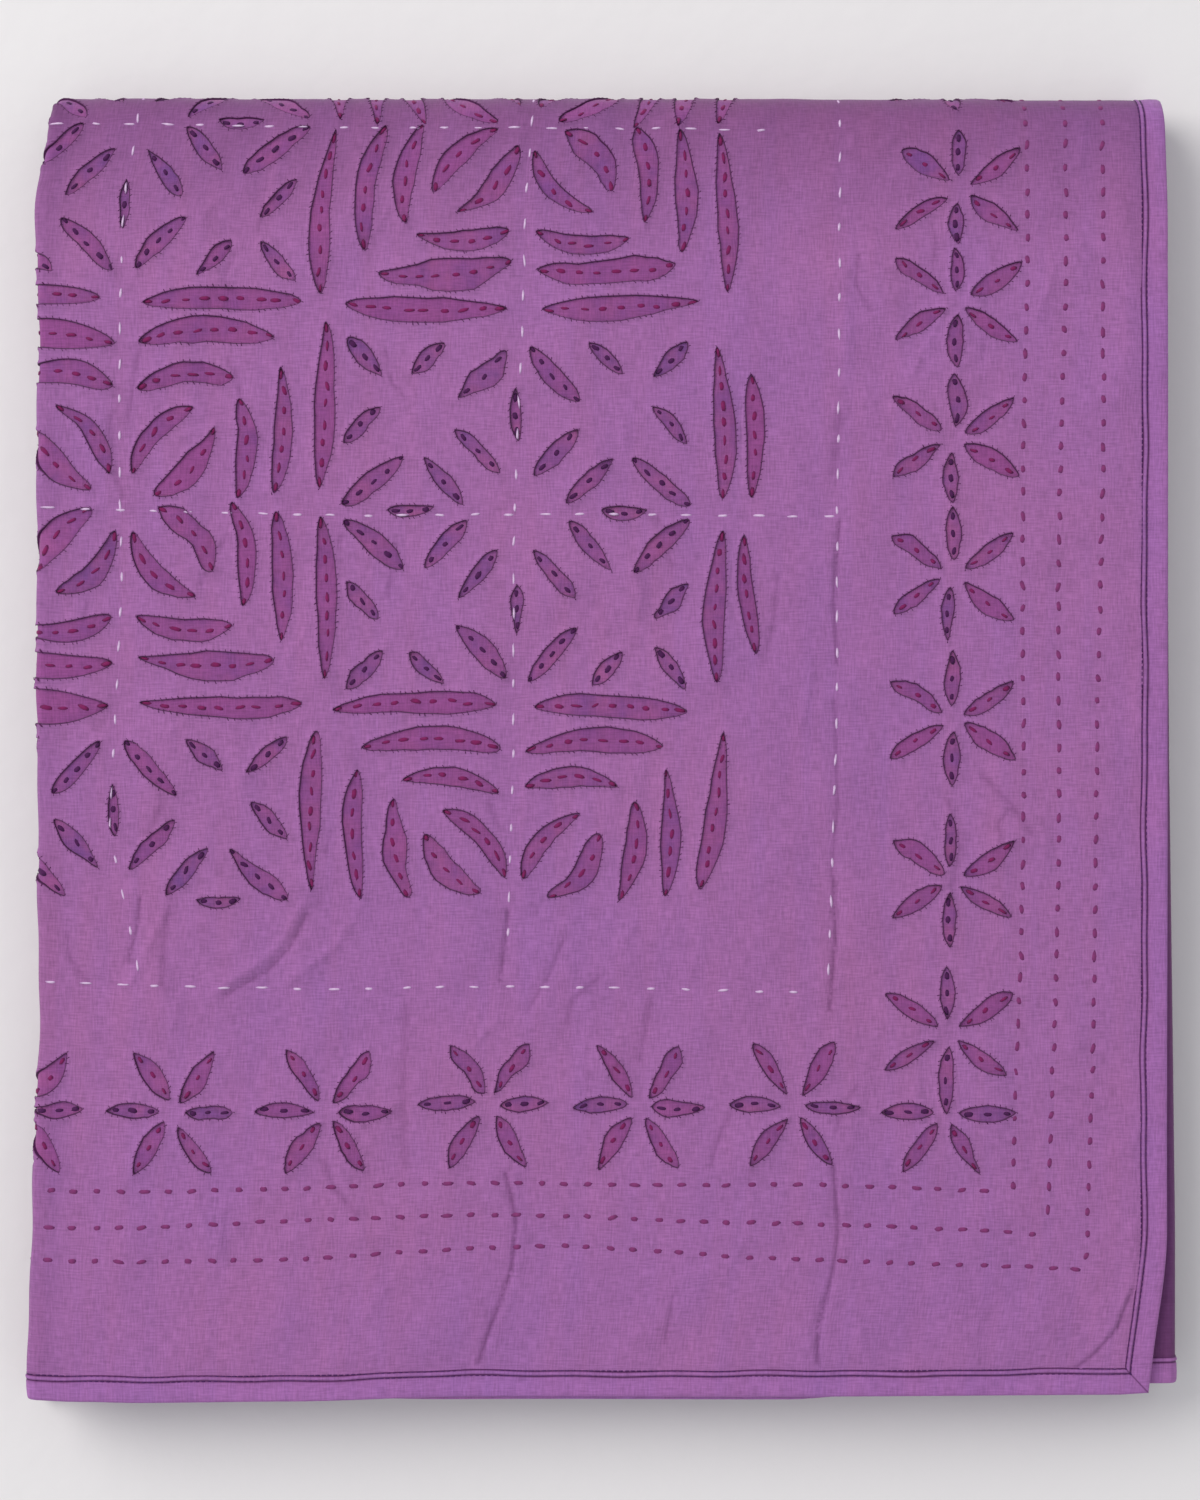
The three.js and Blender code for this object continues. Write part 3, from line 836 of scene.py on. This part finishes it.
for leaf in leaves:
    u, v = place_in_leaf(slab_points, leaf, 2)
    stain[(np.abs(u) < 1.1) & (np.abs(v) < leaf["width"] / 2 + 3)] = leaf["stain"]
ground_cloth.data.attributes.new("stain", "FLOAT", "POINT").data.foreach_set("value", stain)
thicken = ground_cloth.modifiers.new("thickness", "SOLIDIFY")
thicken.thickness = (GROUND + PLY / 2) * MM
thicken.offset = -1
bpy.ops.object.modifier_apply(modifier=thicken.name)
fold(ground_cloth, under=True)
smooth(ground_cloth, 50)

# %% [markdown]
# ## The binding
# A strip is folded over the raw edge and stitched down through all the layers. Seen from
# above it is a flat band, then a groove with machine stitches, a small ridge where its inner
# edge is turned under, and a second groove. It is made flat with mesh code, as the face cloth
# is: the section, which goes over the raw edge to the back, is carried along a route round the
# quilt that has a point wherever the cloth bends, and a slanting groove at each corner.

# %% Model the binding flat
route_s = thin_out(np.unique(np.concatenate([coarse_s[1:-1], np.arange(20, ACROSS[0], 6.0)])))
route_w = thin_out(np.unique(np.concatenate([coarse_w[1:-1], np.arange(20, ALONG[0], 6.0)])))
corner = SECTION[-1][0] + 1.8
route_s = route_s[(route_s > corner + 1) & (route_s < WIDTH - corner - 1)]
route_w = route_w[(route_w > corner + 1) & (route_w < LENGTH - corner - 1)]
route_s = np.concatenate([[corner], route_s, [WIDTH - corner]])
route_w = np.concatenate([[corner], route_w, [LENGTH - corner]])
MITRE_HALF = 0.8  # half the width of the groove where two strips meet at a corner
CORNER_IN = 0.8  # how far a corner's tip is drawn in


def mitre(s, w, ds, dw, first_along_s):
    """Three rows of the section that run slanting across a corner, the middle one sunk."""
    rows = [
        (s + ds * MITRE_HALF, w, ds, dw, 0),
        (s, w, ds, dw, 1),
        (s, w + dw * MITRE_HALF, ds, dw, 0),
    ]
    return rows if first_along_s else rows[::-1]


route = mitre(0, 0, 1, 1, False) + [(s, 0, 0, 1, 0) for s in route_s]
route += mitre(WIDTH, 0, -1, 1, True) + [(WIDTH, w, -1, 0, 0) for w in route_w]
route += mitre(WIDTH, LENGTH, -1, -1, False) + [(s, LENGTH, 0, -1, 0) for s in route_s[::-1]]
route += mitre(0, LENGTH, 1, -1, True) + [(0, w, 1, 0, 0) for w in route_w[::-1]]
section = SECTION[::-1] + [(d, -n * 0.82, tone) for d, n, tone in SECTION[1:]]
strip, tones = [], []
for s, w, ds, dw, sunk in route:
    seam = 0.35 * np.sin(s / 23 + w / 19) + 0.25 * np.sin(s / 7.1 + w / 8.3 + 1)
    for d, n, tone in section:
        drawn_in = CORNER_IN * (ds != 0 and dw != 0) * np.exp(-d / 1.5)
        d = d + seam * (d > 8) + 0.2 * seam * (2 < d < 8) + drawn_in
        n = n + 0.25 * seam * (n > 0) * (1 < d < 8.5) - 0.3 * sunk * (n > 0.5)
        strip.append((s + ds * d, w + dw * d, n))
        # painted shade: the sunk slanting groove at each corner is darkened
        tones.append(max(tone, 0.7 * sunk))
rows = len(section)
strip_faces = []
for a in range(len(route)):
    b = (a + 1) % len(route)
    for k in range(rows - 1):
        strip_faces.append((a * rows + k, a * rows + k + 1, b * rows + k + 1, b * rows + k))
binding = make("binding_strip", strip, strip_faces, tones)
fold(binding)
smooth(binding, 60)

# %% [markdown]
# ## Stitches
# One stitch is a small bead of thread whose ends dive into the cloth. It is modelled from a low
# sphere, with a simpler one for the leaf edges, and set down again and again: inside the leaves
# and round them, along the running rows and the binding, and in the long white lines of basting
# that were never pulled out.

# %% Model one stitch
def model_bead(segments, rings):
    """A round bead drawn out along x, blunt at its ends, which dip down."""
    bpy.ops.object.select_all(action="DESELECT")
    bpy.ops.mesh.primitive_uv_sphere_add(segments=segments, ring_count=rings, radius=1)
    bead = bpy.context.object
    bpy.ops.object.mode_set(mode="EDIT")
    bpy.ops.mesh.select_all(action="SELECT")
    bpy.ops.transform.rotate(value=np.pi / 2, orient_axis="Y", center_override=(0, 0, 0))
    bpy.ops.object.mode_set(mode="OBJECT")
    points = np.array([vertex.co[:] for vertex in bead.data.vertices])
    polygons = [tuple(polygon.vertices) for polygon in bead.data.polygons]
    bpy.data.objects.remove(bead)
    round_part = np.sqrt(np.clip(1 - points[:, 0] ** 2, 0, 1))
    points[:, 1] *= round_part**0.6 / np.maximum(round_part, 0.35)
    points[:, 2] -= 0.9 * points[:, 0] ** 4
    return points, polygons


stitch_bead, small_bead = model_bead(6, 6), model_bead(4, 3)
print(len(stitch_bead[0]), "points in a stitch")


def lay_stitches(name, places, bead=stitch_bead):
    """places: rows of s, w, direction s, direction w, length, width, height, level."""
    bead_points, bead_faces = bead
    cloth_points, bead_all, tones = [], [], []
    for index, (s, w, ds, dw, length, width, height, level) in enumerate(places):
        p = bead_points + chance.normal(0, 0.07, bead_points.shape)
        p = p * (length / 2, width / 2, height)
        cloth_points.append(np.column_stack([
            s + p[:, 0] * ds - p[:, 1] * dw, w + p[:, 0] * dw + p[:, 1] * ds, level + p[:, 2]]))
        shift = index * len(bead_points)
        bead_all += [tuple(v + shift for v in polygon) for polygon in bead_faces]
        # painted shade: each stitch darkens towards its ends, where it dives into the cloth
        tones.append(bead_points[:, 0] ** 2)
    piece = make(name, np.concatenate(cloth_points), bead_all, np.concatenate(tones))
    face_one_way(piece)
    fold(piece)
    smooth(piece, 80)
    return piece


# %% Stitches inside the leaves
IN_LEAF_PITCH = 9.4
leaf_places = {"crimson": [], "plum": []}
for leaf in leaves:
    count = max(3, int(round(leaf["length"] / IN_LEAF_PITCH)) + 1)
    if leaf["length"] < SHORT_LEAF:
        count = 3
    reach_in = 0.92 if count > 3 else 0.66
    side = left_of(leaf["along"])
    for u in np.linspace(-reach_in, reach_in, count) + chance.normal(0, 0.02, count):
        room = leaf["width"] * (1 - u * u) ** 0.6
        at = leaf["middle"] + leaf["along"] * u * leaf["length"] / 2
        at = at + side * (leaf["bow"] * (1 - u * u) + chance.normal(0, 0.3))
        bend = np.arctan2(4 * leaf["bow"] * u, leaf["length"])
        way = turned(leaf["along"], chance.normal(0, 0.14) - bend)
        length, width = chance.uniform(3.9, 6.2), chance.uniform(1.3, 2.2)
        if leaf["length"] < SHORT_LEAF:
            length, width = 0.8 * length, 0.9 * width
        if leaf["thread"] == "plum":
            length, width = chance.uniform(3.2, 4.8), chance.uniform(1.5, 2.4)
        width = min(width, 0.45 * room + 0.5)
        leaf_places[leaf["thread"]].append((*at, *way, length, width, 0.5, GROUND))
crimson_leaf = lay_stitches("leaf_stitches_crimson", leaf_places["crimson"])
plum_leaf = lay_stitches("leaf_stitches_plum", leaf_places["plum"])

# %% Whip stitches round the leaves
WHIP_PITCH = 2.9
whip_places = []
for leaf in leaves:
    if not leaf["on_top"]:
        continue
    line = outline(leaf, 0.5)
    legs = np.roll(line, -1, axis=0) - line
    lengths = np.linalg.norm(legs, axis=1)
    ends = np.insert(np.cumsum(lengths), 0, 0)
    for far in np.arange(0, ends[-1] - 1, WHIP_PITCH) + chance.uniform(0, 1):
        leg = int(np.clip(np.searchsorted(ends, far) - 1, 0, len(legs) - 1))
        way = legs[leg] / lengths[leg]
        at = line[leg] + way * (far - ends[leg] + chance.normal(0, 0.3))
        way = turned(way, np.pi / 2 - 0.55 + chance.normal(0, 0.25))
        whip_places.append((*at, *way, chance.uniform(1.3, 2.7), 0.5, 0.3, FACE + 0.3))
whip = lay_stitches("leaf_edge_stitches", whip_places, small_bead)

# %% Rows of running stitches
def walk(path, pitch, drift):
    """Places at a steady pitch along a path on the chart, drifting a little to each side."""
    path = corners_of(path)
    legs = np.linalg.norm(np.diff(path, axis=0), axis=1)
    ends = np.insert(np.cumsum(legs), 0, 0)
    phase = chance.uniform(0, 6)
    for far in np.arange(pitch * 0.4, ends[-1] - pitch * 0.2, pitch):
        far = far + chance.normal(0, pitch * 0.04)
        leg = int(np.clip(np.searchsorted(ends, far) - 1, 0, len(legs) - 1))
        way = (path[leg + 1] - path[leg]) / legs[leg]
        swing = drift * np.sin(far / 40 + phase) + chance.normal(0, drift * 0.25)
        yield path[leg] + way * (far - ends[leg]) + left_of(way) * swing, way


def row_places(rows, pitch, drift, length, width, height, lean):
    places = []
    for row in rows:
        for at, way in walk(row, pitch, drift):
            way = turned(way, chance.normal(0, lean))
            size = chance.uniform(0.75, 1.2)
            places.append((*at, *way, length * size, width * (1.3 - 0.3 * size), height, FACE))
    return places


running_places = row_places(
    RUNNING_ROWS, pitch=10.9, drift=0.6, length=5.2, width=2.2, height=0.5, lean=0.14)
running = lay_stitches("running_stitches", running_places)
basting_places = row_places(
    BASTING_ROWS, pitch=16.6, drift=0.5, length=6.2, width=1.15, height=0.4, lean=0.06)
basting = lay_stitches("basting_stitches", basting_places)

# %% Machine stitches on the binding
machine_places = []
MACHINE_PITCH = 2.8
MACHINE_STITCH = (2.3, 0.5, 0.22, 1.02)
for offset in GROOVES:
    for w in np.arange(offset, ALONG[2] - 3, MACHINE_PITCH):
        machine_places.append((offset, w, 0, 1, *MACHINE_STITCH))
    for s in np.arange(offset, ACROSS[1], MACHINE_PITCH):
        machine_places.append((s, offset, 1, 0, *MACHINE_STITCH))
machine = lay_stitches("binding_stitches", machine_places)

# %% [markdown]
# ## Materials
# Everything is plain-weave cotton, dyed in the piece after it was sewn, and mottled between a
# pinker and a bluer tone. Shade is painted into the colour: darker along the leaf edges, in
# creases and grooves, towards the folds and at the ends of stitches. Cotton is matte with a
# faint nap: high roughness and a little sheen. Thread is the same fibre. Cambric has its
# threads about 0.3 mm apart, too fine to show, so the weave is drawn at 0.75 mm.

# %% Material helpers
def linear(hex_colour):
    """An sRGB colour such as 9865a0 as the linear values that Blender mixes."""
    channels = [int(hex_colour[i:i + 2], 16) / 255 for i in (0, 2, 4)]
    return [c / 12.92 if c <= 0.04045 else ((c + 0.055) / 1.055) ** 2.4 for c in channels] + [1.0]


def add(tree, kind, settings=None, **inputs):
    """A node with its settings; an input is a value, or another node's output."""
    node = tree.nodes.new(kind)
    for name, value in (settings or {}).items():
        setattr(node, name, value)
    for name, value in inputs.items():
        numbered = name[0] == "_" and name[1:].isdigit()
        socket = node.inputs[int(name[1:]) if numbered else name.replace("_", " ")]
        if isinstance(value, bpy.types.NodeSocket):
            tree.links.new(value, socket)
        else:
            socket.default_value = value
    return node


def blank(name, roughness, sheen):
    material = bpy.data.materials.new(name)
    material.use_nodes = True
    shader = material.node_tree.nodes["Principled BSDF"]
    shader.inputs["Roughness"].default_value = roughness
    shader.inputs["Sheen Weight"].default_value = sheen
    shader.inputs["Sheen Roughness"].default_value = 0.5
    shader.inputs["Specular IOR Level"].default_value = 0.25
    return material, material.node_tree, shader


# %% Dyed cotton
def cotton(name, pink, blue, shade, mottle_mm=130, weave_mm=0.75, slub_mm=7, bump=0.3,
           stained=None):
    """Plain-weave cotton: two tones of dye, a painted shade for leaf edges, creases, grooves and
    folds, threads with slubs, a rumple.
    """
    material, tree, shader = blank(name, 0.92, 0.12)
    place = add(tree, "ShaderNodeUVMap", {"uv_map": "flat_cloth"}).outputs[0]
    dye = add(tree, "ShaderNodeTexNoise", Vector=place, Scale=1000 / mottle_mm, Detail=3.0,
              Roughness=0.55)
    streaks = add(tree, "ShaderNodeMapping", Vector=place)
    streaks.inputs["Scale"].default_value = (1000 / 9, 1000 / 160, 1)
    streak = add(tree, "ShaderNodeTexNoise", Vector=streaks.outputs[0], Scale=1.0, Detail=3.0)
    both = add(tree, "ShaderNodeMath", {"operation": "MULTIPLY_ADD"}, _0=streak.outputs[0], _1=0.5,
               _2=dye.outputs[0])
    tone = add(tree, "ShaderNodeMapRange", Value=both.outputs[0])
    tone.inputs["From Min"].default_value, tone.inputs["From Max"].default_value = 0.52, 0.98
    colour = add(tree, "ShaderNodeMix", {"data_type": "RGBA"}, _0=tone.outputs[0],
                 _6=linear(pink), _7=linear(blue))
    if stained:
        stain = add(tree, "ShaderNodeAttribute", {"attribute_name": "stain"})
        colour = add(tree, "ShaderNodeMix", {"data_type": "RGBA"}, _0=stain.outputs["Fac"],
                     _6=colour.outputs[2], _7=linear(stained))
    threads = []
    for scale in ((1000 / weave_mm, 1000 / slub_mm, 1), (1000 / slub_mm, 1000 / weave_mm, 1)):
        stretch = add(tree, "ShaderNodeMapping", Vector=place)
        stretch.inputs["Scale"].default_value = scale
        threads.append(
            add(tree, "ShaderNodeTexNoise", Vector=stretch.outputs[0], Scale=1.0, Detail=2.0))
    weave = add(tree, "ShaderNodeMath", {"operation": "ADD"}, _0=threads[0].outputs[0],
                _1=threads[1].outputs[0])
    fade = add(tree, "ShaderNodeMapRange", Value=weave.outputs[0])
    fade.inputs["From Min"].default_value, fade.inputs["From Max"].default_value = 0.7, 1.3
    fade.inputs["To Min"].default_value, fade.inputs["To Max"].default_value = 0.79, 1.16
    woven = add(tree, "ShaderNodeMix", {"data_type": "RGBA", "blend_type": "MULTIPLY"}, _0=1.0,
                _6=colour.outputs[2], _7=fade.outputs[0])
    # painted shade: darker along leaf edges, in crease valleys and binding grooves, and towards the
    # folds
    seam = add(tree, "ShaderNodeAttribute", {"attribute_name": "edge_shade"})
    shaded = add(tree, "ShaderNodeMix", {"data_type": "RGBA"}, _0=seam.outputs["Fac"],
                 _6=woven.outputs[2], _7=linear(shade))
    tree.links.new(shaded.outputs[2], shader.inputs["Base Color"])
    crumple = add(tree, "ShaderNodeTexNoise", {"noise_type": "RIDGED_MULTIFRACTAL"},
                  Vector=place, Scale=1000 / 60, Detail=3.0, Roughness=0.45, Distortion=0.4)
    rumpled = add(tree, "ShaderNodeBump", Height=crumple.outputs[0], Strength=1.0, Distance=0.0016)
    relief = add(tree, "ShaderNodeBump", Height=weave.outputs[0], Strength=bump, Distance=0.0006,
                 Normal=rumpled.outputs[0])
    tree.links.new(relief.outputs[0], shader.inputs["Normal"])
    return material


# %% Thread
def thread(name, colour, end_colour):
    """Cotton thread: smoother than the cloth, unevenly dyed, and with painted shade where a stitch
    dives into the cloth.
    """
    material, tree, shader = blank(name, 0.75, 0.1)
    # painted shade at the ends of each stitch
    seam = add(tree, "ShaderNodeAttribute", {"attribute_name": "edge_shade"})
    place = add(tree, "ShaderNodeUVMap", {"uv_map": "flat_cloth"}).outputs[0]
    uneven = add(tree, "ShaderNodeTexNoise", Vector=place, Scale=1000 / 1.4, Detail=2.0)
    dark = add(tree, "ShaderNodeMath", {"operation": "MULTIPLY_ADD"}, _0=uneven.outputs[0], _1=0.6,
               _2=seam.outputs["Fac"])
    mixed = add(tree, "ShaderNodeMix", {"data_type": "RGBA"}, _0=dark.outputs[0],
                _6=linear(colour), _7=linear(end_colour))
    tree.links.new(mixed.outputs[2], shader.inputs["Base Color"])
    return material


# %% Finish the pieces
# the colour of the painted shade
PAINTED_SHADE_COLOUR = "420840"
cambric = cotton("cotton_cambric_purple", "a1659b", "9a64a1", PAINTED_SHADE_COLOUR)
ground = cotton("cotton_ground_plum", "985288", "764686", PAINTED_SHADE_COLOUR, mottle_mm=14, stained="8e4785")
finishes = [
    (face_cloth, cambric, "quilt_cotton"),
    (ground_cloth, ground, "quilt_cotton"),
    (binding, cotton("cotton_binding_purple", "a467a3", "9b66a8", PAINTED_SHADE_COLOUR), "binding_cotton"),
    (crimson_leaf, thread("cotton_thread_crimson", "86145a", "5c0e4a"), "quilt_cotton"),
    (plum_leaf, thread("cotton_thread_plum", "4e0e50", "36063e"), "quilt_cotton"),
    (whip, thread("cotton_thread_dark_plum", "56124e", "400840"), "quilt_cotton"),
    (running, thread("cotton_thread_red", "8a3470", "62265c"), "quilt_cotton"),
    (basting, thread("cotton_thread_white", "e6cce8", "ae86b4"), "quilt_cotton"),
    (machine, thread("cotton_thread_machine", "501a62", "38104a"), "binding_cotton"),
]
for piece, material, slot in finishes:
    piece.data.materials.clear()
    piece.data.materials.append(material)
print([material.name for _, material, _ in finishes])

# %% The table's finish
paper, tree, shader = blank("matte_plaster_pale", 0.95, 0.0)
place = add(tree, "ShaderNodeTexCoord").outputs["Object"]
grain = add(tree, "ShaderNodeTexNoise", Vector=place, Scale=60.0, Detail=6.0)
shader.inputs["Base Color"].default_value = linear("e9e6e5")
bumps = add(tree, "ShaderNodeBump", Height=grain.outputs[0], Strength=0.2, Distance=0.002)
tree.links.new(bumps.outputs[0], shader.inputs["Normal"])
table.data.materials.append(paper)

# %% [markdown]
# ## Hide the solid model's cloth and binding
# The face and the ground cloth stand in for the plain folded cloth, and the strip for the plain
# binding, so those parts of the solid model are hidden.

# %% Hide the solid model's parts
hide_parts("quilt_cloth")
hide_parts("quilt_cloth")
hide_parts("binding")
bpy.context.view_layer.update()
